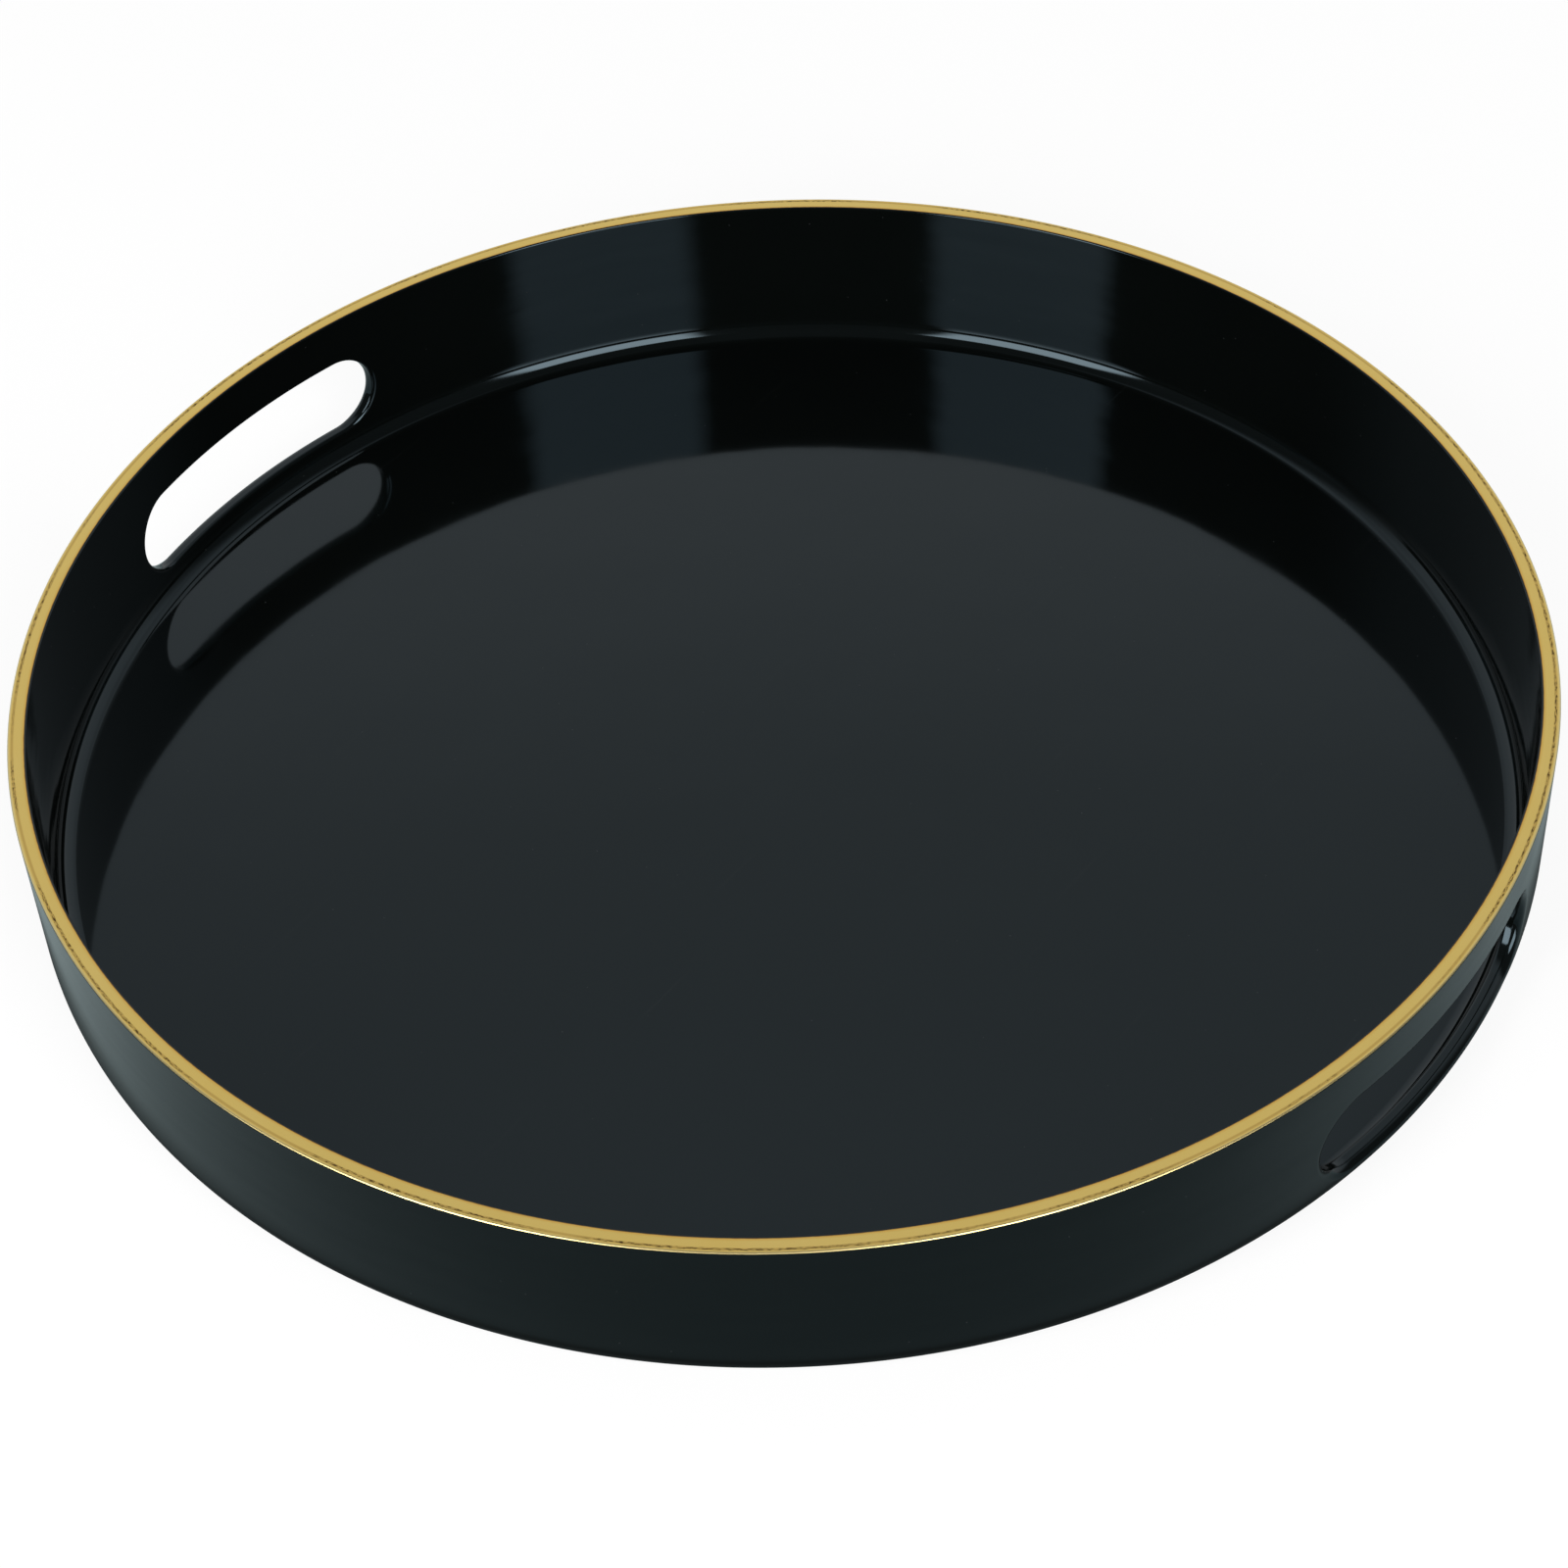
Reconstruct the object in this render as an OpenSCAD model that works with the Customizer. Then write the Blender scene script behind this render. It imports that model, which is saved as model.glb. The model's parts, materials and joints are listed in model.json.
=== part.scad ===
// Round serving tray with two hand holes and a gold foil rim.
// Millimetres, +Z up. The origin is the middle of the plane that the feet stand on.
// The hand holes face along +X and -X.

/* [Tray] */
// Outside diameter of the tray
tray_d = 330; // [250:1:420]
// Height of the moulding, from its underside to the top of the rim
tray_h = 40.5; // [34:0.5:60]
// Thickness of the upright wall
wall_t = 4; // [3:0.1:6]
// Thickness of the floor
floor_t = 2.4; // [2:0.1:4]
// Radius of the outside corner between the wall and the underside
base_r = 9; // [4:0.5:9.5]
// Radius of the fillet between the wall and the serving floor
floor_fillet_r = 4; // [2:0.5:7]

/* [Rim] */
// Radius of the rim's outer edge, which the foil wraps over
rim_outer_r = 0.5; // [0.5:0.1:1.4]
// Radius of the rim's inner edge, which stays bare
rim_inner_r = 0.4; // [0.3:0.1:1]
// Thickness of the foil band
foil_t = 0.2; // [0.1:0.05:0.3]

/* [Hand holes] */
// Length of a hand hole, measured straight from end to end
hole_l = 79; // [60:1:100]
// Height of a hand hole
hole_h = 20; // [16:0.5:22]
// Height of a hand hole's lower edge above the underside of the moulding
hole_lift = 8.5; // [8:0.5:10]

/* [Feet] */
// Diameter of an anti-slip foot
foot_d = 16; // [10:0.5:24]
// Thickness of an anti-slip foot
foot_t = 1.5; // [1:0.1:3]
// Depth of the shallow seat that a foot is stuck into
seat_depth = 0.5; // [0.2:0.1:0.8]
// Gap all round between a foot and the edge of its seat
seat_gap = 0.3; // [0.1:0.1:1]
// Distance from the tray's outer wall in to the middle of a foot
foot_inset = 37; // [25:1:60]
// Radius of a foot's lower edge
foot_edge_r = 0.5; // [0.1:0.1:0.8]

/* [Hidden] */
$fn = 180;

tray_r = tray_d / 2;
inner_r = tray_r - wall_t;
foot_circle_r = tray_r - foot_inset;
foot_drop = foot_t - seat_depth;      // how far the feet lift the moulding
rim_z = foot_drop + tray_h;
floor_z = foot_drop + floor_t;        // the serving floor
hole_mid_z = foot_drop + hole_lift + hole_h / 2;
cut_over = 1;                         // how far a cutter runs past the solid it cuts
rim_fn = 12;                          // a rim edge is so small that three flats make its quarter round
base_fn = 64;
body_colour = [0.03, 0.04, 0.045];
foil_colour = [0.79, 0.66, 0.33];
foot_colour = [0.12, 0.12, 0.12];

// The corner of a square of side r that lies outside a quarter circle of radius r, made with fn sides.
// The sharp corner is at the origin and the quarter circle's middle at [-r, -r].
module corner_offcut(r, fn) {
    difference() {
        translate([-r, -r]) square(r + cut_over);
        translate([-r, -r]) circle(r = r, $fn = fn);
    }
}

// Half section of the upright wall, made smaller by inset at its top and its outer edge.
module wall_section(inset) {
    difference() {
        translate([inner_r, foot_drop]) square([wall_t - inset, tray_h - inset]);
        translate([tray_r - inset, rim_z - inset]) corner_offcut(rim_outer_r - inset, rim_fn);
    }
}

// Half section of the band of foil that lies on the rim and wraps over its outer edge.
module foil_section() {
    intersection() {
        difference() {
            wall_section(0);
            wall_section(foil_t);
        }
        translate([inner_r + rim_inner_r, rim_z - rim_outer_r]) square([wall_t, rim_outer_r]);
    }
}

// Half section of the fillet that joins the wall to the serving floor.
module floor_fillet_section() {
    translate([inner_r, floor_z]) mirror([0, 1]) difference() {
        translate([-floor_fillet_r, -floor_fillet_r]) square(floor_fillet_r);
        translate([-floor_fillet_r, -floor_fillet_r]) circle(r = floor_fillet_r, $fn = base_fn);
    }
}

// Half section of the moulding: floor, fillet and wall, with the foil's place left free.
module body_section() {
    difference() {
        union() {
            translate([0, foot_drop]) square([inner_r + cut_over, floor_t]);
            floor_fillet_section();
            wall_section(0);
        }
        translate([tray_r, foot_drop]) mirror([0, 1]) corner_offcut(base_r, base_fn);
        translate([inner_r, rim_z]) mirror([1, 0]) corner_offcut(rim_inner_r, rim_fn);
        foil_section();
    }
}

// A straight bar with rounded ends that runs through both walls along X.
module hand_hole_cutter() {
    end_r = hole_h / 2;
    bar_l = tray_d + 2 * cut_over;
    translate([-bar_l / 2, -hole_l / 2 + end_r, hole_mid_z - end_r])
        cube([bar_l, hole_l - 2 * end_r, hole_h]);
    for (side = [-1, 1])
        translate([-bar_l / 2, side * (hole_l / 2 - end_r), hole_mid_z])
            rotate([0, 90, 0]) cylinder(r = end_r, h = bar_l);
}

// Places what follows at the middle of a foot, on the plane that the feet stand on.
module at_foot(angle) {
    rotate([0, 0, angle]) translate([foot_circle_r, 0, 0]) children();
}

module tray_body() {
    color(body_colour) difference() {
        rotate_extrude() body_section();
        hand_hole_cutter();
        for (angle = [45 : 90 : 315])
            at_foot(angle) cylinder(d = foot_d + 2 * seat_gap, h = foot_t);
    }
}

module rim_foil() {
    color(foil_colour) rotate_extrude() foil_section();
}

// A round rubber pad with a rounded lower edge.
module foot(angle) {
    color(foot_colour) at_foot(angle) rotate_extrude() difference() {
        square([foot_d / 2, foot_t]);
        translate([foot_d / 2, 0]) mirror([0, 1]) corner_offcut(foot_edge_r, base_fn);
    }
}

tray_body();
rim_foil();
foot(315);  // foot_front_right
foot(225);  // foot_front_left
foot(135);  // foot_back_left
foot(45);  // foot_back_right
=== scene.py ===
import json
import math

import bmesh
import bpy
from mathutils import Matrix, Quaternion, Vector, noise

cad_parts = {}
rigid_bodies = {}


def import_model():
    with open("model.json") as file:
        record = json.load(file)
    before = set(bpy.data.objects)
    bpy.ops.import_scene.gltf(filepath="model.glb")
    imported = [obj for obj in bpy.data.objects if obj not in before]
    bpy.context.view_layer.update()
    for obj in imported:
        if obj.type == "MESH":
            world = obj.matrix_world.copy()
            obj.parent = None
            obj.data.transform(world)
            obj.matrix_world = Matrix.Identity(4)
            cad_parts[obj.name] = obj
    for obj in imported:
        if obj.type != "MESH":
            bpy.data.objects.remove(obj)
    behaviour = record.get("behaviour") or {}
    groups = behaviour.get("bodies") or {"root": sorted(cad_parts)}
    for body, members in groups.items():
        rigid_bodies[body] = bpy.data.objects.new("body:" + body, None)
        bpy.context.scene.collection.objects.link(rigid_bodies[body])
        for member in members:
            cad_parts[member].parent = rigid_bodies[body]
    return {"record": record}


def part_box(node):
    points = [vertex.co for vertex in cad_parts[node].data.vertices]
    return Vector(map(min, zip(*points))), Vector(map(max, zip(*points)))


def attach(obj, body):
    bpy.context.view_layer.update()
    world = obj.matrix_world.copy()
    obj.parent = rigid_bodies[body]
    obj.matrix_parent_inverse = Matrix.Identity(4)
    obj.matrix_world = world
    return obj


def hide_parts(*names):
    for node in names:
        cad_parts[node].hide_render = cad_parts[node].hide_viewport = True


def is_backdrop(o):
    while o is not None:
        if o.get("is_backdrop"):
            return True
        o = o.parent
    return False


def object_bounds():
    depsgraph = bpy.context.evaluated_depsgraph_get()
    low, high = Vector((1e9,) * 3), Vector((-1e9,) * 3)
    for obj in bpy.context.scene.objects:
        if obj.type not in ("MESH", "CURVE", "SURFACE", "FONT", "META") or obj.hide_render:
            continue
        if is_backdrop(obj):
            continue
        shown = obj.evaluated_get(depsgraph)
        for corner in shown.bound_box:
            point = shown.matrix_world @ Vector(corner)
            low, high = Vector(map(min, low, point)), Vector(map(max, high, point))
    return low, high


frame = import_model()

cad_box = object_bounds()

# ---------------------------------------------------------------- sizes, in metres
MM = 0.001
MOUNTS = {mount["name"]: mount for mount in frame["record"]["mounts"]}

body_low, body_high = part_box("tray_body")
foil_low, foil_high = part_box("rim_foil")
TRAY_R = body_high.x
UNDERSIDE_Z = body_low.z
RIM_Z = foil_high.z
RIM_EDGE_R = foil_high.z - foil_low.z            # the foil wraps over this rounded edge
RIM_EDGE = (TRAY_R - RIM_EDGE_R, RIM_Z - RIM_EDGE_R)  # middle of that rounding
FLOOR_Z = MOUNTS["serving_floor"]["pos_m"][2]
WALL_T = 4 * MM
WALL_IN_R = TRAY_R - WALL_T
INNER_EDGE_R = 0.4 * MM
BASE_R = 9 * MM
FILLET_R = 4 * MM

# Hand holes, which face along +X and -X
HOLE_END_R = 10 * MM
HOLE_STRAIGHT = 29.5 * MM                        # from the middle to where a round end starts
HOLE_MID_Z = UNDERSIDE_Z + 18.5 * MM
HOLE_LIP_R = 2.2 * MM                            # rounding of its edge on the wall's outer face
HOLE_INSIDE_R = 0.9 * MM                         # and on the inner face
HOLE_EDGE_STEPS = 5
WINDOW_TOP_Z = HOLE_MID_Z + 15 * MM              # top of the patch of wall round a hand hole
WINDOW_ROWS = 24
BASE_ROWS = 6                                    # rows of the outer patch that lie on the base's rounding
BASE_TURN = -34                                  # degrees round it that they reach
FILLET_ROWS = 6                                  # rows of the inner patch that lie on the fillet
FILLET_TURN = -36                                # degrees round the fillet that they reach
WINDOW_COLUMNS = 32                              # on each side of a hand hole's middle

# Moulding marks on the underside
GATE_R = 6 * MM
GATE_DEPTH = 0.4 * MM
MARK_EDGE_R = 0.15 * MM

# Foil
FOIL_T = 0.06 * MM
FOIL_IN_R = WALL_IN_R + INNER_EDGE_R
FOIL_RAGGED = 0.03 * MM                          # how far its lower edge strays up or down
FOIL_EDGE_TURN = 32                              # degrees up the rim edge where it starts
FOIL_STEP_TURN = 8                               # degrees below it where the moulding steps in for it

# Feet
FEET = ("foot_front_right", "foot_front_left", "foot_back_left", "foot_back_right")
foot_low, foot_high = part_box(FEET[0])
FOOT_R = (foot_high.x - foot_low.x) / 2
FOOT_TOP_Z = foot_high.z
FOOT_EDGE_R = 0.5 * MM
FOOT_GROOVES = 3
GROOVE_W = 1 * MM
GROOVE_DEPTH = 0.3 * MM
SEAT_R = FOOT_R + 0.3 * MM
SEAT_MARGIN = 5 * MM
SEAT_ROWS = 10
SEAT_COLUMNS = 12                                # on each side of a seat's middle
foot_middle = (foot_low + foot_high) / 2
FEET_CIRCLE_R = Vector((foot_middle.x, foot_middle.y)).length

# Segments round each piece
COLUMNS = 720                                    # the moulding's
FOIL_COLUMNS = 1440
FOOT_COLUMNS = 96

# Studio
DARK_SIDE = 39                                   # azimuth of the room's dark side, in degrees
TABLE_REACH = 12
LAMP_AZIMUTHS = (("right_softbox", 65.2), ("left_softbox", -5.1))  # in degrees
LAMP_AWAY = 1.49                                 # from the tray's axis
LAMP_UP = 0.95
LAMP_W = 0.87
LAMP_H = 1.6
LAMP_RADIANCE = 5.2                              # watts from a square metre into a steradian
LAMP_GAIN = 1.12                                 # over that in its middle, as its edges fade
LAMP_FADE = (0.38, 0.53)                         # from its middle, in shares of a side


# ---------------------------------------------------------------- sections and skins
# A section is a list of (radius, height, normal's radial part, normal's upward part).

def line(start, end, steps=1):
    """Section points on a straight line, whose outside is on the right of its direction."""
    start, along = Vector(start), Vector(end) - Vector(start)
    normal = Vector((along.y, -along.x)).normalized()
    return [(*(start + along * (k / steps)), *normal) for k in range(steps + 1)]


def arc(centre, radius, start, end, steps, outside=1):
    """Section points on an arc, with angles in degrees; outside is -1 where the arc is hollow."""
    points = []
    for k in range(steps + 1):
        angle = math.radians(start + (end - start) * k / steps)
        away = Vector((math.cos(angle), math.sin(angle)))
        points.append((*(Vector(centre) + away * radius), *(away * outside)))
    return points


def section(*parts):
    """One section from several, each of which starts where the last one ends."""
    whole = list(parts[0])
    for part in parts[1:]:
        near = (Vector(part[0][:2]) - Vector(whole[-1][:2])).length < 1e-7
        whole += part[1:] if near else part
    return whole


def turned(across, up, angle):
    """A point or direction given across and along the radius at that angle, as x and y."""
    c, s = math.cos(angle), math.sin(angle)
    return up * c - across * s, up * s + across * c


class Skin:
    """A mesh in the making: points with their own true normals, and faces."""

    def __init__(self):
        self.points = []
        self.normals = []
        self.faces = []
        self.finishes = []

    def add(self, point, normal):
        self.points.append(tuple(point))
        self.normals.append(tuple(Vector(normal).normalized()))
        return len(self.points) - 1

    def turn(self, radius, height, across, up, columns):
        """One ring of points round the Z axis, or a single point on the axis."""
        if radius < 1e-9:
            return [self.add((0, 0, height), (0, 0, up))] * columns
        ring = []
        for k in range(columns):
            c, s = turned(0, 1, 2 * math.pi * k / columns)
            ring.append(self.add((radius * c, radius * s, height), (across * c, across * s, up)))
        return ring

    def bridge(self, ring, other, finish=0, skip=()):
        """Faces between two rings of as many points each, leaving out the columns in skip."""
        count = len(ring)
        for k in range(count):
            n = (k + 1) % count
            corners = list(dict.fromkeys((ring[k], ring[n], other[n], other[k])))
            if k not in skip and len(corners) > 2:
                self.faces.append(corners)
                self.finishes.append(finish)

    def piece(self, name, finishes):
        mesh = bpy.data.meshes.new(name)
        mesh.from_pydata(self.points, [], self.faces)
        mesh.polygons.foreach_set("material_index", self.finishes)
        mesh.polygons.foreach_set("use_smooth", [True] * len(self.faces))
        work = bmesh.new()
        work.from_mesh(mesh)
        bmesh.ops.recalc_face_normals(work, faces=work.faces)
        work.to_mesh(mesh)
        work.free()
        mesh.normals_split_custom_set_from_vertices(self.normals)
        for finish in finishes:
            mesh.materials.append(finish)
        thing = bpy.data.objects.new(name, mesh)
        bpy.context.scene.collection.objects.link(thing)
        return thing


# ---------------------------------------------------------------- openings in a turned surface

class Window:
    """A patch of a turned surface with an opening in it, from the grid's border in to its outline.

    A place in the patch is given as across, along the surface, and up, along its section.
    The outline is a slot with round ends, or a circle where straight is 0.
    """

    def __init__(self, skin, rings, middle_column, half_columns, middle, straight, local):
        self.skin = skin
        top = len(rings) - 1
        first, last = middle_column - half_columns, middle_column + half_columns
        border = [(0, c) for c in range(first, last)]
        border += [(r, last) for r in range(top)]
        border += [(top, c) for c in range(last, first, -1)]
        border += [(r, first) for r in range(top, 0, -1)]
        self.ids = [rings[r][c % COLUMNS] for r, c in border]
        self.places = [local(Vector(skin.points[i])) for i in self.ids]
        self.middle, self.rays = middle, []
        reach = max(across for across, up in self.places)
        ups = [up for across, up in self.places]
        for (ring, _), (across, up) in zip(border, self.places):
            side = 1 if across > 0 else -1
            rise = 1 if up > middle else -1
            core = max(-straight, min(straight, across))
            if ring in (0, top):
                beyond = max(0, abs(across) - straight) / (reach - straight)
                angle = math.radians(90 - 45 * min(1, beyond))
            else:
                span = (max(ups) if rise > 0 else min(ups)) - middle
                angle = math.radians(45 * (up - middle) / span)
            self.rays.append((core, side * math.cos(angle), rise * math.sin(angle)))

    def outline(self, radius):
        return [(core + a * radius, self.middle + u * radius) for core, a, u in self.rays]

    def fill(self, radius, place, steps, finish=0):
        """Faces from the border in to the outline of that radius; returns the outline's ring."""
        ring = self.ids
        for k in range(1, steps + 1):
            share = k / steps
            mixed = []
            for (a, b), (c, d) in zip(self.places, self.outline(radius)):
                mixed.append(self.skin.add(*place(a + (c - a) * share, b + (d - b) * share)))
            self.skin.bridge(ring, mixed, finish)
            ring = mixed
        return ring

    def ring(self, radius, place, slope):
        """The outline's ring at a depth that place knows; slope turns its normals inwards."""
        ring = []
        for (a, b), (_, across, up) in zip(self.outline(radius), self.rays):
            ring.append(self.skin.add(*place(a, b, across, up, slope)))
        return ring


def hand_hole(skin, outer_rings, inner_rings, column, angle):
    """Opens a hand hole through the wall, with a rounded edge on each face."""

    def local(point):
        return turned(point.y, point.x, -angle)[1], point.z

    def across_wall(across, up, radius, facing, ray_across=0, ray_up=0, slope=0):
        """A point at a radius of the wall, and its normal, turned into the hole by slope."""
        out = math.sqrt(radius * radius - across * across)
        x, y = turned(across, out, angle)
        face = Vector(turned(across / radius, out / radius, angle)).to_3d() * facing
        inwards = -Vector((*turned(ray_across, 0, angle), ray_up))
        return (x, y, up), face * math.cos(slope) + inwards * math.sin(slope)

    def outer_radius(up):
        drop = max(0, UNDERSIDE_Z + BASE_R - up)
        return TRAY_R - BASE_R + math.sqrt(BASE_R * BASE_R - drop * drop)

    def on_outer(across, up):
        point, normal = across_wall(across, up, outer_radius(up), 1)
        drop = max(0, UNDERSIDE_Z + BASE_R - up)
        return point, normal * math.sqrt(1 - (drop / BASE_R) ** 2) - Vector((0, 0, drop / BASE_R))

    def fillet_drop(up):
        return max(0, FLOOR_Z + FILLET_R - up)

    def inner_radius(up):
        return WALL_IN_R - FILLET_R + math.sqrt(FILLET_R * FILLET_R - fillet_drop(up) ** 2)

    def on_inner(across, up):
        point, normal = across_wall(across, up, inner_radius(up), -1)
        sine = fillet_drop(up) / FILLET_R
        return point, normal * math.sqrt(1 - sine * sine) + Vector((0, 0, sine))

    def rounded(wall_rings, edge_r, on_face, radius_at, facing):
        """Rings from a face of the wall, round the hole's edge and into the hole."""
        window = Window(skin, wall_rings, column, WINDOW_COLUMNS, HOLE_MID_Z, HOLE_STRAIGHT, local)
        wide = HOLE_END_R + edge_r
        rings = [window.fill(wide, on_face, steps=6)]
        for k in range(1, HOLE_EDGE_STEPS + 1):
            slope = math.pi / 2 * k / HOLE_EDGE_STEPS
            depth = edge_r * (1 - math.cos(slope))
            rings.append(window.ring(wide - edge_r * math.sin(slope), lambda a, b, ra, ru, s: across_wall(
                a, b, radius_at(b) - facing * depth, facing, ra, ru, s), slope))
        return rings

    rings = rounded(outer_rings, HOLE_LIP_R, on_outer, outer_radius, 1)
    rings += reversed(rounded(inner_rings, HOLE_INSIDE_R, on_inner, inner_radius, -1))
    for ring, other in zip(rings, rings[1:]):
        skin.bridge(ring, other)


def foot_seat(skin, rings, column, angle, finish):
    """Sinks a shallow round seat for a foot into the underside."""

    def local(point):
        up, across = turned(point.y, point.x, -angle)
        return across, up

    def on_underside(across, up):
        return (*turned(across, up, angle), UNDERSIDE_Z), (0, 0, -1)

    window = Window(skin, rings, column, SEAT_COLUMNS, FEET_CIRCLE_R, 0, local)
    wide = SEAT_R + MARK_EDGE_R
    ring = window.fill(wide, on_underside, steps=5, finish=finish)
    steps = 3
    levels = [
        (wide - MARK_EDGE_R * math.sin(slope), MARK_EDGE_R * (1 - math.cos(slope)), slope)
        for slope in (math.pi / 2 * k / steps for k in range(1, steps + 1))
    ]
    levels.append((SEAT_R, FOOT_TOP_Z - UNDERSIDE_Z, math.pi / 4))
    for radius, depth, slope in levels:
        deeper = window.ring(radius, lambda a, b, ra, ru, s, d=depth: (
            (*turned(a, b, angle), UNDERSIDE_Z + d),
            Vector((*turned(-ra, -ru, angle), 0)) * math.sin(s) - Vector((0, 0, math.cos(s)))), slope)
        skin.bridge(ring, deeper, finish)
        ring = deeper
    centre = skin.add((*turned(0, FEET_CIRCLE_R, angle), FOOT_TOP_Z), (0, 0, -1))
    skin.bridge(ring, [centre] * len(ring), finish)


# ---------------------------------------------------------------- pieces of the tray

def tray_moulding(gloss, underside):
    """The one-piece moulding: underside, outer wall, bare rim under the foil, inner wall and floor."""
    skin = Skin()
    under, base_top = UNDERSIDE_Z, UNDERSIDE_Z + BASE_R
    seat_reach = SEAT_R + SEAT_MARGIN
    below = section(
        line((0, under + GATE_DEPTH), (GATE_R - MARK_EDGE_R, under + GATE_DEPTH)),
        arc((GATE_R - MARK_EDGE_R, under + GATE_DEPTH - MARK_EDGE_R), MARK_EDGE_R, 90, 0, 3, -1),
        arc((GATE_R + MARK_EDGE_R, under + MARK_EDGE_R), MARK_EDGE_R, 180, 270, 3),
        line((GATE_R + MARK_EDGE_R, under), (FEET_CIRCLE_R - seat_reach, under), 6),
    )
    seat_first = len(below) - 1
    below = section(
        below,
        line((FEET_CIRCLE_R - seat_reach, under), (FEET_CIRCLE_R + seat_reach, under), SEAT_ROWS),
        line((FEET_CIRCLE_R + seat_reach, under), (TRAY_R - BASE_R, under), 2),
    )
    under_rows = len(below)
    outside = section(below, arc((TRAY_R - BASE_R, base_top), BASE_R, -90, BASE_TURN, 6))
    outer_first = len(outside) - 1
    outside = section(
        outside,
        arc((TRAY_R - BASE_R, base_top), BASE_R, BASE_TURN, 0, BASE_ROWS),
        line((TRAY_R, base_top), (TRAY_R, WINDOW_TOP_Z), WINDOW_ROWS - BASE_ROWS),
        line((TRAY_R, WINDOW_TOP_Z), (TRAY_R, RIM_Z - RIM_EDGE_R), 3),
        arc(RIM_EDGE, RIM_EDGE_R, 0, FOIL_EDGE_TURN - FOIL_STEP_TURN, 3),
        arc(RIM_EDGE, RIM_EDGE_R - FOIL_T, FOIL_EDGE_TURN, 90, 4),
        line((TRAY_R - RIM_EDGE_R, RIM_Z - FOIL_T), (FOIL_IN_R, RIM_Z - FOIL_T)),
        arc((FOIL_IN_R, RIM_Z - INNER_EDGE_R), INNER_EDGE_R, 90, 180, 5),
        line((WALL_IN_R, RIM_Z - INNER_EDGE_R), (WALL_IN_R, WINDOW_TOP_Z), 3),
    )
    inner_first = len(outside) - 1
    fillet_top = FLOOR_Z + FILLET_R
    outside = section(
        outside,
        line((WALL_IN_R, WINDOW_TOP_Z), (WALL_IN_R, fillet_top), WINDOW_ROWS - FILLET_ROWS),
        arc((WALL_IN_R - FILLET_R, fillet_top), FILLET_R, 0, FILLET_TURN, FILLET_ROWS, -1),
        arc((WALL_IN_R - FILLET_R, fillet_top), FILLET_R, FILLET_TURN, -90, 10, -1),
        line((WALL_IN_R - FILLET_R, FLOOR_Z), (0, FLOOR_Z), 12),
    )
    rings = [skin.turn(*point, COLUMNS) for point in outside]
    quarter = COLUMNS // 4
    holes = [0, 2 * quarter]
    seats = [quarter // 2 + k * quarter for k in range(4)]

    def opened(row):
        """Columns of a row that a hand hole or a seat takes out."""
        taken = set()
        for first in (outer_first, inner_first):
            if first <= row < first + WINDOW_ROWS:
                for column in holes:
                    taken.update(c % COLUMNS for c in range(column - WINDOW_COLUMNS, column + WINDOW_COLUMNS))
        if seat_first <= row < seat_first + SEAT_ROWS:
            for column in seats:
                taken.update(range(column - SEAT_COLUMNS, column + SEAT_COLUMNS))
        return taken

    for row in range(len(rings) - 1):
        skin.bridge(rings[row], rings[row + 1], 1 if row < under_rows - 1 else 0, opened(row))
    outer_rings = rings[outer_first:outer_first + WINDOW_ROWS + 1]
    inner_rings = rings[inner_first:inner_first + WINDOW_ROWS + 1][::-1]
    for column in holes:
        hand_hole(skin, outer_rings, inner_rings, column, 2 * math.pi * column / COLUMNS)
    seat_rings = rings[seat_first:seat_first + SEAT_ROWS + 1]
    for column in seats:
        foot_seat(skin, seat_rings, column, 2 * math.pi * column / COLUMNS, 1)
    return skin.piece("tray_moulding", [gloss, underside])


def rim_gold(foil):
    """The foil: a thin closed skin over the rim and its outer edge, with a ragged lower edge."""
    skin = Skin()
    fold = FOIL_T / 2
    under = arc(RIM_EDGE, RIM_EDGE_R - FOIL_T, 90, FOIL_EDGE_TURN, 7)
    band = section(
        arc(RIM_EDGE, RIM_EDGE_R, FOIL_EDGE_TURN, 90, 9),
        line((RIM_EDGE[0], RIM_Z), (FOIL_IN_R + fold, RIM_Z), 4),
        arc((FOIL_IN_R + fold, RIM_Z - fold), fold, 90, 270, 4),
        [(r, z, -across, -up) for r, z, across, up in under],
    )
    rings = [skin.turn(*point, FOIL_COLUMNS) for point in band]
    rings.append(rings[0])
    for ring, other in zip(rings, rings[1:]):
        skin.bridge(ring, other)
    for ring in (rings[0], rings[-2]):           # the lower edge's outer and inner rings
        for column, point in enumerate(ring):
            x, y, z = skin.points[point]
            c, s = turned(0, 1, 2 * math.pi * column / FOIL_COLUMNS)
            torn = noise.noise(Vector((60 * c, 60 * s, 0))) + noise.noise(Vector((9 * c, 9 * s, 3)))
            skin.points[point] = (x, y, z + FOIL_RAGGED * max(-1, min(1, torn)))
    return skin.piece("rim_gold_foil", [foil])


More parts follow.
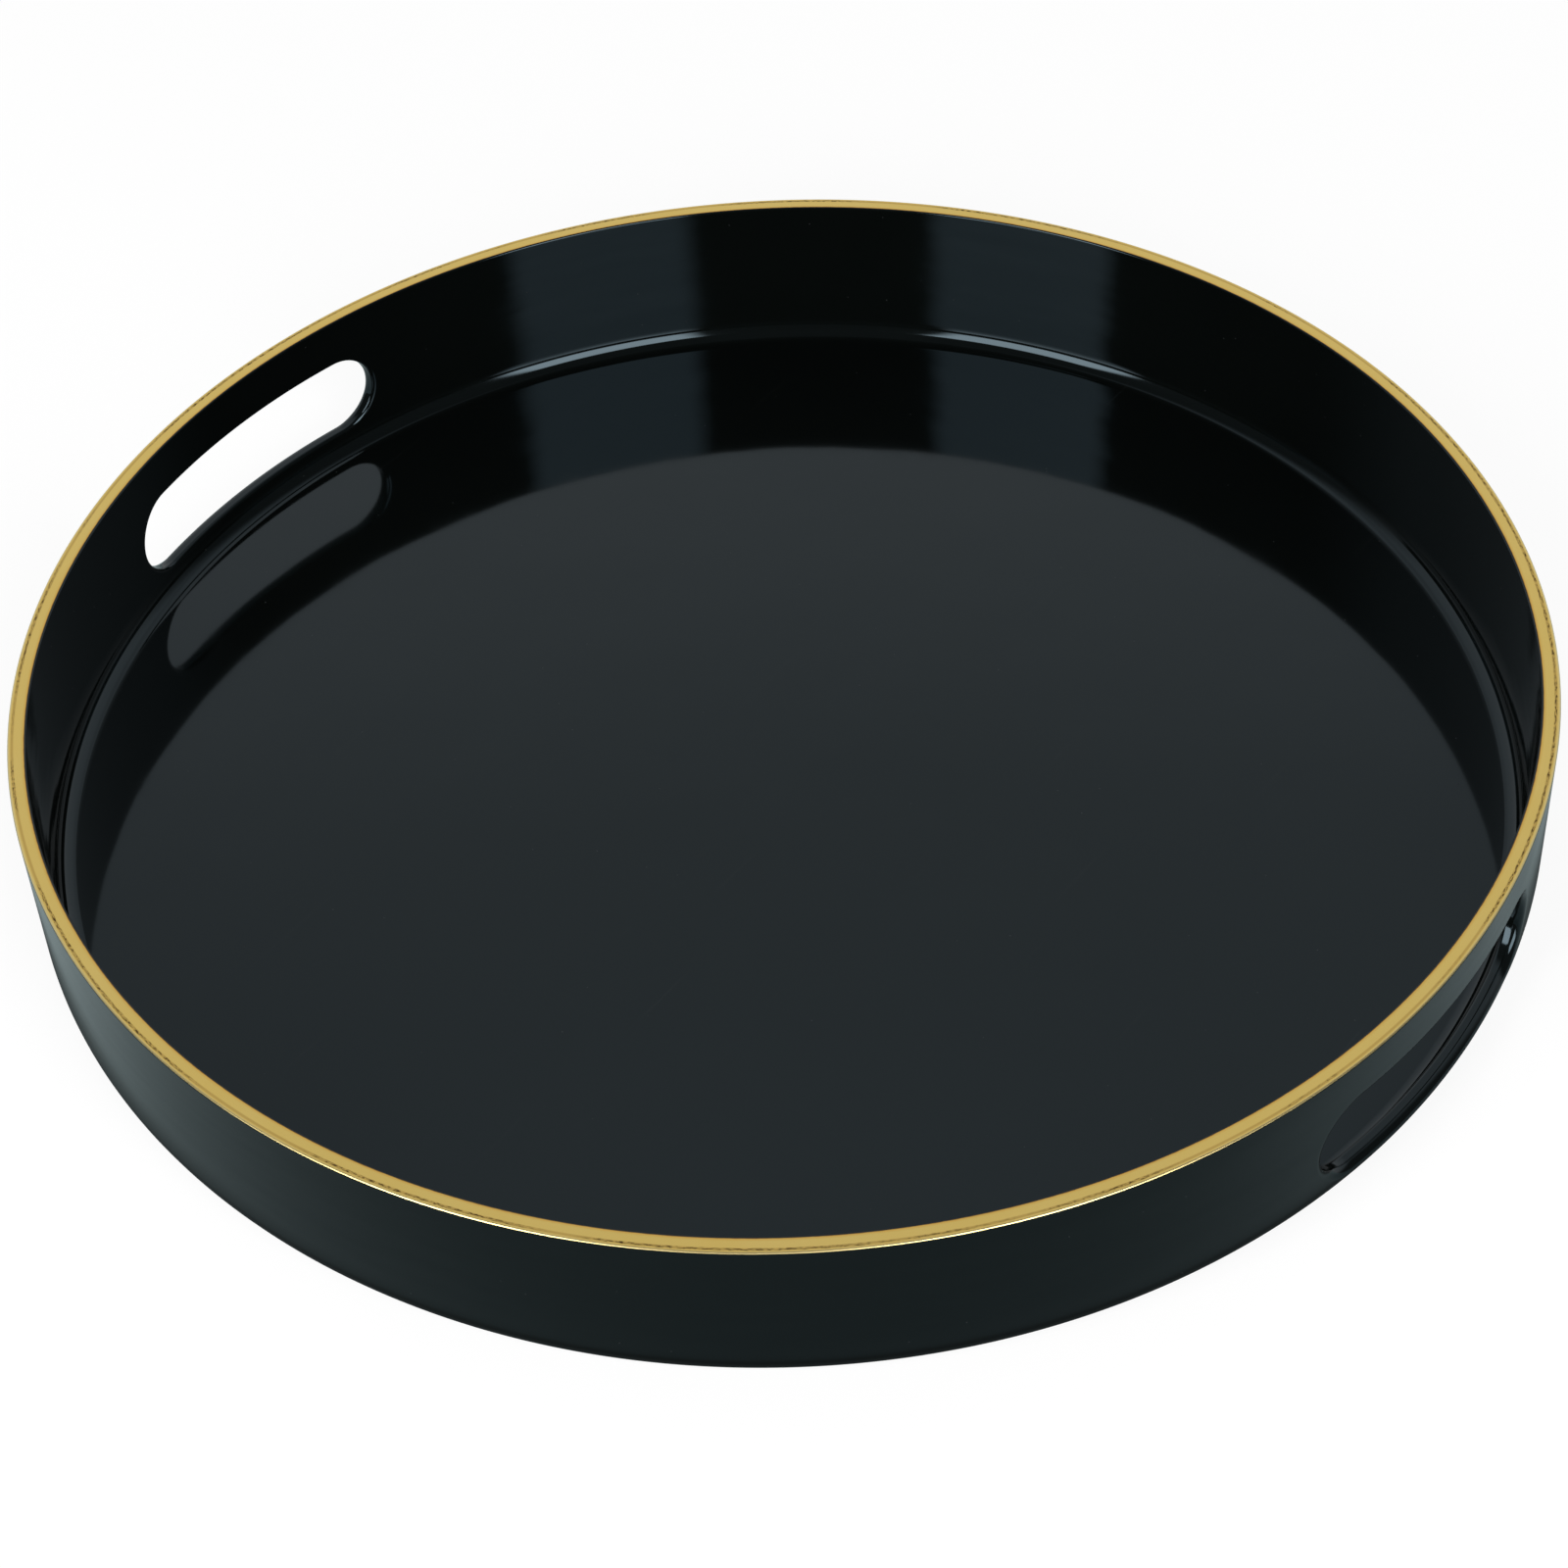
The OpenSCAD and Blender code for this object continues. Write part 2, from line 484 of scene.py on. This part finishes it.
def rubber_foot(name, rubber):
    """A round pad with a rounded edge and ring grooves in the face that it stands on."""
    skin = Skin()
    low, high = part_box(name)
    middle = (low + high) / 2
    pitch = (FOOT_R - FOOT_EDGE_R) / (FOOT_GROOVES + 1)
    face = [(0, 0, 0, -1)]
    for k in range(1, FOOT_GROOVES + 1):
        for step in range(-6, 7):
            share = step / 6
            depth = GROOVE_DEPTH * (1 + math.cos(math.pi * share)) / 2
            slope = -math.sin(math.pi * share) * math.pi * GROOVE_DEPTH / GROOVE_W
            face.append((pitch * k + GROOVE_W / 2 * share, depth, slope, -1))
    profile = section(
        face,
        arc((FOOT_R - FOOT_EDGE_R, FOOT_EDGE_R), FOOT_EDGE_R, -90, 0, 6),
        line((FOOT_R, FOOT_EDGE_R), (FOOT_R, FOOT_TOP_Z), 2),
        line((FOOT_R, FOOT_TOP_Z), (0, FOOT_TOP_Z)),
    )
    rings = [skin.turn(*point, FOOT_COLUMNS) for point in profile]
    for ring, other in zip(rings, rings[1:]):
        skin.bridge(ring, other)
    skin.points = [(x + middle.x, y + middle.y, z) for x, y, z in skin.points]
    return skin.piece("rubber_" + name, [rubber])


# ---------------------------------------------------------------- finishes

class Field:
    """A value that changes over a surface, for use in arithmetic."""

    def __init__(self, look, socket):
        self.look, self.socket = look, socket

    def math(self, operation, *values):
        return self.look.node("ShaderNodeMath", {"operation": operation}, dict(enumerate(values)))

    def __add__(self, other):
        return self.math("ADD", self, other)

    def __sub__(self, other):
        return self.math("SUBTRACT", self, other)

    def __rsub__(self, other):
        return self.math("SUBTRACT", other, self)

    def __mul__(self, other):
        return self.math("MULTIPLY", self, other)

    def __pow__(self, other):
        return self.math("POWER", self, other)

    def __abs__(self):
        return self.math("ABSOLUTE", self)

    __radd__, __rmul__ = __add__, __mul__


class Look:
    """A node tree in the making."""

    def __init__(self, owner):
        owner.use_nodes = True
        self.tree = owner.node_tree
        self.tree.nodes.clear()

    def node(self, kind, settings, values, output=0):
        """Adds a node: its settings first, then numbers, colours or fields to its sockets."""
        made = self.tree.nodes.new(kind)
        for name, setting in settings.items():
            if name == "stops":
                stops = made.color_ramp.elements
                while len(stops) < len(setting):
                    stops.new(0)
                for stop, (position, colour) in zip(stops, setting):
                    stop.position, stop.color = position, colour
            else:
                setattr(made, name, setting)
        for socket, value in values.items():
            if isinstance(value, Field):
                self.tree.links.new(value.socket, made.inputs[socket])
            else:
                made.inputs[socket].default_value = value
        return Field(self, made.outputs[output])

    def place(self):
        """Where a point of the surface is, in metres."""
        return self.node("ShaderNodeTexCoord", {}, {}, "Object")

    def axes(self, place):
        split = self.node("ShaderNodeSeparateXYZ", {}, {0: place})
        return [Field(self, socket) for socket in split.socket.node.outputs]

    def stretched(self, place, turn, scale):
        """The place turned about Z and scaled along each axis."""
        return self.node("ShaderNodeMapping", {}, {
            "Vector": place, "Rotation": (0, 0, math.radians(turn)), "Scale": scale})

    def clouds(self, place, size, detail=2, roughness=0.5):
        """Soft noise from 0 to 1 with blotches of that size in metres."""
        return self.node("ShaderNodeTexNoise", {}, {
            "Vector": place, "Scale": 1 / size, "Detail": detail, "Roughness": roughness})

    def rise(self, value, low, high):
        """0 where the value is under low, 1 where it is over high, and smooth between."""
        return self.node("ShaderNodeMapRange", {"interpolation_type": "SMOOTHSTEP"}, {
            "Value": value, "From Min": low, "From Max": high})

    def fall(self, value, low, high):
        return 1 - self.rise(value, low, high)

    def specks(self, place, size, radius, share):
        """Round specks: one to a cell of that size, and only in that share of the cells."""
        values = {"Vector": place, "Scale": 1 / size}
        near = self.node("ShaderNodeTexVoronoi", {}, values)
        chance = self.axes(Field(self, near.socket.node.outputs["Color"]))[0]
        dot = self.fall(near, 0.6 * radius / size, 1.2 * radius / size)
        return dot * self.node("ShaderNodeMath", {"operation": "LESS_THAN"}, {0: chance, 1: share})

    def ramp(self, value, *stops):
        """Greys that run between stops of (value, level)."""
        return self.node("ShaderNodeValToRGB", {"stops": [(p, grey(v)) for p, v in stops]}, {0: value})

    def blend(self, share, colour, other):
        return self.node("ShaderNodeMix", {"data_type": "RGBA"}, {0: share, 6: colour, 7: other}, 2)

    def relief(self, height, depth, under=None):
        """A bump of that depth in metres where height goes from 0 to 1."""
        values = {"Height": height, "Distance": depth}
        if under:
            values["Normal"] = under
        return self.node("ShaderNodeBump", {}, values)

    def principled(self, **values):
        named = {name.replace("_", " ").title().replace("Ior", "IOR"): v for name, v in values.items()}
        return self.node("ShaderNodeBsdfPrincipled", {}, named)

    def surface(self, shader, kind="ShaderNodeOutputMaterial"):
        made = self.tree.nodes.new(kind)
        self.tree.links.new(shader.socket, made.inputs["Surface"])


def grey(level):
    return (level, level, level, 1)


def gloss_plastic():
    """Black gloss moulding: slow waviness, level streaks up the wall, smears, dust and hairlines."""
    material = bpy.data.materials.new("black_gloss_plastic")
    look = Look(material)
    place = look.place()
    x, _, z = look.axes(place)
    waves = look.clouds(place, 0.05, 1) + 0.12 * look.clouds(place, 0.014, 1)
    streaks = look.clouds(look.stretched(place, 0, (18, 18, 90)), 1, 2)
    waves = waves + 0.9 * streaks * look.rise(z, FLOOR_Z + FILLET_R, FLOOR_Z + 3 * FILLET_R)
    smears = look.rise(look.clouds(place, 0.035, 5, 0.6), 0.5, 0.72)
    held = look.rise(x * x, 0.135 ** 2, 0.16 ** 2) * look.rise(look.clouds(place, 0.009, 3), 0.45, 0.65)
    dust = look.specks(place, 0.004, 0.00016, 0.35)
    hairs = look.rise(look.clouds(look.stretched(place, 24, (900, 14, 14)), 1, 1), 0.76, 0.8)
    hairs = hairs + look.rise(look.clouds(look.stretched(place, -57, (1100, 11, 11)), 1, 1), 0.77, 0.81)
    hairs = hairs * look.fall(z, FLOOR_Z + 0.5 * MM, FLOOR_Z + 1 * MM)
    tint = look.blend(look.clouds(place, 0.02, 4), (0.0022, 0.003, 0.0027, 1), (0.0028, 0.0037, 0.0034, 1))
    tint = look.blend(0.5 * dust, tint, grey(0.05))
    tint = look.blend(0.12 * hairs, tint, grey(0.03))
    rough = 0.065 + 0.03 * smears + 0.03 * held + 0.05 * hairs + 0.4 * dust
    bump = look.relief(waves, 0.16 * MM)
    bump = look.relief(1 - hairs, 0.001 * MM, bump)
    look.surface(look.principled(
        base_color=tint, roughness=rough, normal=bump, ior=1.5, specular_tint=(0.65, 0.87, 1, 1)))
    return material


def moulded_underside():
    """The same plastic off a satin tool face: fine grain, flow bands and scuffs from tables."""
    material = bpy.data.materials.new("satin_moulded_underside")
    look = Look(material)
    place = look.place()
    grain = look.clouds(place, 0.0004, 3)
    flow = look.clouds(place, 0.03, 3)
    scuffs = look.rise(look.clouds(look.stretched(place, 40, (500, 30, 30)), 1, 2), 0.62, 0.72)
    scuffs = scuffs * look.rise(look.clouds(place, 0.05, 2), 0.4, 0.6)
    tint = look.blend(flow, (0.0035, 0.0042, 0.004, 1), (0.006, 0.007, 0.0066, 1))
    tint = look.blend(0.35 * scuffs, tint, grey(0.03))
    rough = 0.36 + 0.1 * flow + 0.12 * scuffs
    bump = look.relief(grain, 0.02 * MM)
    look.surface(look.principled(base_color=tint, roughness=rough, normal=bump, ior=1.5))
    return material


def gold_foil():
    """Hot-stamped foil: a warm inner edge, a paler outer corner as a painted highlight, and a painted dark
    reflection line just in from it, broken into dark specks.
    """
    material = bpy.data.materials.new("gold_stamping_foil")
    look = Look(material)
    place = look.place()
    x, y = look.axes(place)[:2]
    reach = (x * x + y * y) ** 0.5
    grain = look.clouds(place, 0.0005, 3, 0.6)
    drift = look.clouds(place, 0.012, 3)
    tint = look.blend(drift, (0.97, 0.7, 0.19, 1), (1, 0.76, 0.25, 1))
    inner = look.fall(reach, FOIL_IN_R + 0.1 * MM, FOIL_IN_R + 0.8 * MM)
    tint = look.blend(0.6 * inner, tint, (0.9, 0.52, 0.1, 1))
    brim = look.fall(reach + 0.2 * MM * look.clouds(place, 0.0015, 2), FOIL_IN_R + 0.12 * MM,
                     FOIL_IN_R + 0.3 * MM)
    tint = look.blend(0.8 * brim, tint, (0.35, 0.12, 0.02, 1))
    corner = TRAY_R - RIM_EDGE_R
    # Painted dark reflection: a brown line just in from the rounded outer corner, where the foil starts to
    # turn down.
    dark_reflection_band = look.rise(reach, corner - 0.95 * MM, corner - 0.65 * MM)
    dark_reflection_band = dark_reflection_band * look.fall(reach, corner - 0.4 * MM, corner - 0.1 * MM)
    # Painted highlight: the rounded outer corner is tinted paler and whiter to stand for the whiter highlight
    # on it.
    pale = look.rise(reach, corner - 0.05 * MM, corner + 0.2 * MM)
    tint = look.blend(0.5 * pale, tint, (1, 0.86, 0.5, 1))
    # Painted dark reflection: the line is broken into dark specks along the rim, and the foil is a little
    # rougher there.
    along = look.node("ShaderNodeMath", {"operation": "ARCTAN2"}, {0: y, 1: x}) * TRAY_R
    strip = look.node("ShaderNodeCombineXYZ", {}, {0: along, 1: reach * 5})
    dark_reflection_specks = look.rise(look.clouds(strip, 0.0014, 5, 0.75), 0.49, 0.55)
    dark_reflection_specks = dark_reflection_band * dark_reflection_specks * look.rise(look.clouds(place, 0.03, 2), 0.4, 0.55)
    # The painted dark reflection line, then its darker specks.
    tint = look.blend(0.45 * dark_reflection_band, tint, (0.5, 0.28, 0.06, 1))
    tint = look.blend(0.95 * dark_reflection_specks, tint, (0.05, 0.02, 0.008, 1))
    rough = 0.28 + 0.08 * grain + 0.15 * dark_reflection_specks + 0.05 * drift
    bump = look.relief(grain, 0.004 * MM)
    look.surface(look.principled(base_color=tint, roughness=rough, normal=bump, metallic=1.0))
    return material


def foot_rubber():
    """Matt black rubber, with a fine moulded grain and a greyish bloom."""
    material = bpy.data.materials.new("matt_foot_rubber")
    look = Look(material)
    place = look.place()
    bloom = look.clouds(place, 0.004, 4, 0.6)
    grain = look.clouds(place, 0.0003, 2)
    tint = look.blend(look.rise(bloom, 0.4, 0.75), grey(0.01), grey(0.028))
    bump = look.relief(grain, 0.02 * MM)
    look.surface(look.principled(base_color=tint, roughness=0.66 + 0.2 * bloom, normal=bump))
    return material


# ---------------------------------------------------------------- studio

def towards(azimuth, elevation):
    """The direction out from the tray; azimuth 0 is along -Y and 90 along +X."""
    a, e = math.radians(azimuth), math.radians(elevation)
    return Vector((math.sin(a) * math.cos(e), -math.cos(a) * math.cos(e), math.sin(e)))


def softbox(name, width, height, place, radiance):
    """An upright lamp that faces the tray and fades at its edges; the camera itself doesn't see it."""
    lamp = bpy.data.lights.new(name, "AREA")
    lamp.shape = "RECTANGLE"
    lamp.size, lamp.size_y = width, height
    lamp.energy = math.pi * radiance * width * height
    thing = bpy.data.objects.new(name, lamp)
    thing.location = place
    look = Look(lamp)
    where = look.axes(look.node("ShaderNodeNewGeometry", {}, {}, "Parametric"))
    glow = LAMP_GAIN
    for share in where[:2]:
        from_middle = abs(share - 0.5)
        glow = glow * look.fall(from_middle, *LAMP_FADE)
    look.surface(look.node("ShaderNodeEmission", {}, {1: glow}), "ShaderNodeOutputLight")
    level = Vector((place[0], place[1], 0))
    thing.rotation_euler = level.to_track_quat("Z", "Y").to_euler()
    thing.visible_camera = False
    bpy.context.scene.collection.objects.link(thing)


def studio_camera(azimuth, elevation, distance, aim, lens, roll):
    """The camera, placed from the middle of the underside; angles in degrees, lens in millimetres."""
    camera = bpy.data.cameras.new("studio_camera")
    camera.sensor_width = 36
    camera.lens = lens
    camera.clip_start, camera.clip_end = 0.01, 50
    thing = bpy.data.objects.new("studio_camera", camera)
    thing.location = Vector((0, 0, UNDERSIDE_Z)) + towards(azimuth, elevation) * distance
    back = thing.location - Vector(aim)
    turn = back.to_track_quat("Z", "Y") @ Quaternion((0, 0, 1), math.radians(roll))
    thing.rotation_euler = turn.to_euler()
    bpy.context.scene.collection.objects.link(thing)
    bpy.context.scene.camera = thing


def studio_room():
    """A room with one dark side and soft pale walls on the far side; the camera itself sees white."""
    world = bpy.data.worlds.new("studio_room")
    bpy.context.scene.world = world
    look = Look(world)
    way = look.node("ShaderNodeTexCoord", {}, {}, "Generated")
    far = look.node("ShaderNodeVectorMath", {"operation": "DOT_PRODUCT"}, {
        0: way, 1: tuple(-towards(DARK_SIDE, 0))}, "Value")
    wall = look.ramp(look.axes(way)[2], (0.62, 0.62), (0.66, 0.57), (0.7, 0.5), (0.74, 0.5), (0.78, 0.56))
    near = look.ramp(0.5 * far + 0.5, (0.05, 0.05), (0.25, 0.07))
    room = look.blend(look.rise(far, 0.05, 0.42), near, wall)
    seen = look.node("ShaderNodeLightPath", {}, {}, "Is Camera Ray")
    look.surface(look.node("ShaderNodeBackground", {}, {0: look.blend(seen, room, grey(1))}),
                 "ShaderNodeOutputWorld")


def studio_floor():
    """A pale table: bright to the camera; in the gloss it is a softer grey with painted shade, darker on the
    camera's side and darkest beside the tray as a painted contact shadow.
    """
    material = bpy.data.materials.new("pale_table")
    look = Look(material)
    place = look.place()
    seen = look.node("ShaderNodeLightPath", {}, {}, "Is Camera Ray")
    ahead = look.node("ShaderNodeVectorMath", {"operation": "DOT_PRODUCT"}, {
        0: place, 1: tuple(towards(DARK_SIDE, 0))}, "Value")
    # Painted shade, seen only in the gloss: the table is darker on the camera's side, and a painted contact
    # shadow lies close round the tray.
    gloss_table_with_painted_shade = look.blend(look.rise(ahead, 0, 0.2), (0.57, 0.7, 0.71, 1), (0.185, 0.23, 0.235, 1))
    x, y = look.axes(place)[:2]
    shade = look.fall((x * x + y * y) ** 0.5, TRAY_R + 1 * MM, TRAY_R + 8 * MM)
    gloss_table_with_painted_shade = look.blend(0.75 * shade, gloss_table_with_painted_shade, grey(0.01))
    soft = look.node("ShaderNodeBsdfDiffuse", {}, {0: look.blend(seen, gloss_table_with_painted_shade, grey(0.95))})
    glow = look.node("ShaderNodeEmission", {}, {0: grey(1), 1: 1.09})
    look.surface(look.node("ShaderNodeMixShader", {}, {0: 0.8 * seen, 1: soft, 2: glow}))
    mesh = bpy.data.meshes.new("pale_table")
    corners = [(TABLE_REACH * a, TABLE_REACH * b, 0) for a, b in ((-1, -1), (1, -1), (1, 1), (-1, 1))]
    mesh.from_pydata(corners, [], [(0, 1, 2, 3)])
    mesh.materials.append(material)
    table = bpy.data.objects.new("pale_table", mesh)
    bpy.context.scene.collection.objects.link(table)
    table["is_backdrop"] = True


# ---------------------------------------------------------------- making it all

def made_of(piece, node):
    """Puts a piece on the part, in place of its CAD node."""
    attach(piece, "root")
    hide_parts(node)


rubber = foot_rubber()
made_of(tray_moulding(gloss_plastic(), moulded_underside()), "tray_body")
made_of(rim_gold(gold_foil()), "rim_foil")
for foot in FEET:
    made_of(rubber_foot(foot, rubber), foot)

studio_room()
studio_floor()
for name, azimuth in LAMP_AZIMUTHS:
    place = towards(azimuth, 0) * LAMP_AWAY + Vector((0, 0, LAMP_UP))
    softbox(name, LAMP_W, LAMP_H, place, LAMP_RADIANCE)
studio_camera(azimuth=39.23, elevation=44.14, distance=0.7757,
              aim=(0, -0.0011, 0.0001), lens=79.89, roll=-3.32)
bpy.context.scene.view_settings.view_transform = "Standard"

boxes = {"cad": cad_box, "visual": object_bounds()}
{name: [list(corner) for corner in box] for name, box in boxes.items()}
